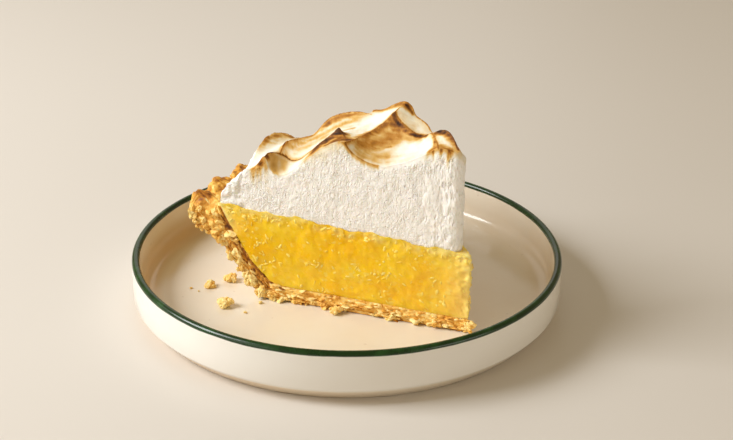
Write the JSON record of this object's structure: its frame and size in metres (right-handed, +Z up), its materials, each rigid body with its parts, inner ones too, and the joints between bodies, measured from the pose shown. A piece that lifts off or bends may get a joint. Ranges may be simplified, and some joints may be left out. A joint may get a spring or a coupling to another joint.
{
  "type": "slice of lemon meringue pie",
  "caption": "Cut slice of lemon meringue pie with crimped pastry rim, clear lemon filling and scooped browned meringue, on a low straight-sided plate with a coloured lip.",
  "frame": {"origin": "centre of the plate's foot, in the plane that it rests on", "axes": "+Z up along the plate's axis; the slice's tip points to +X and -Y, and the cut face that shows looks towards -Y"},
  "size_m": [0.18, 0.18, 0.0913],
  "materials": {
    "plate_glaze": "glossy cream stoneware glaze with a dark green glazed lip",
    "pastry": "baked flaky pastry, golden brown on the rim and pale where it is broken",
    "lemon": "moist translucent lemon jelly with lighter pulp",
    "meringue": "soft white foam, smooth and browned along its crests"
  },
  "bodies": {
    "root": {"plate": "plate_glaze", "crust": "pastry", "lemon_filling": "lemon", "meringue": "meringue"}
  },
  "joints": []
}
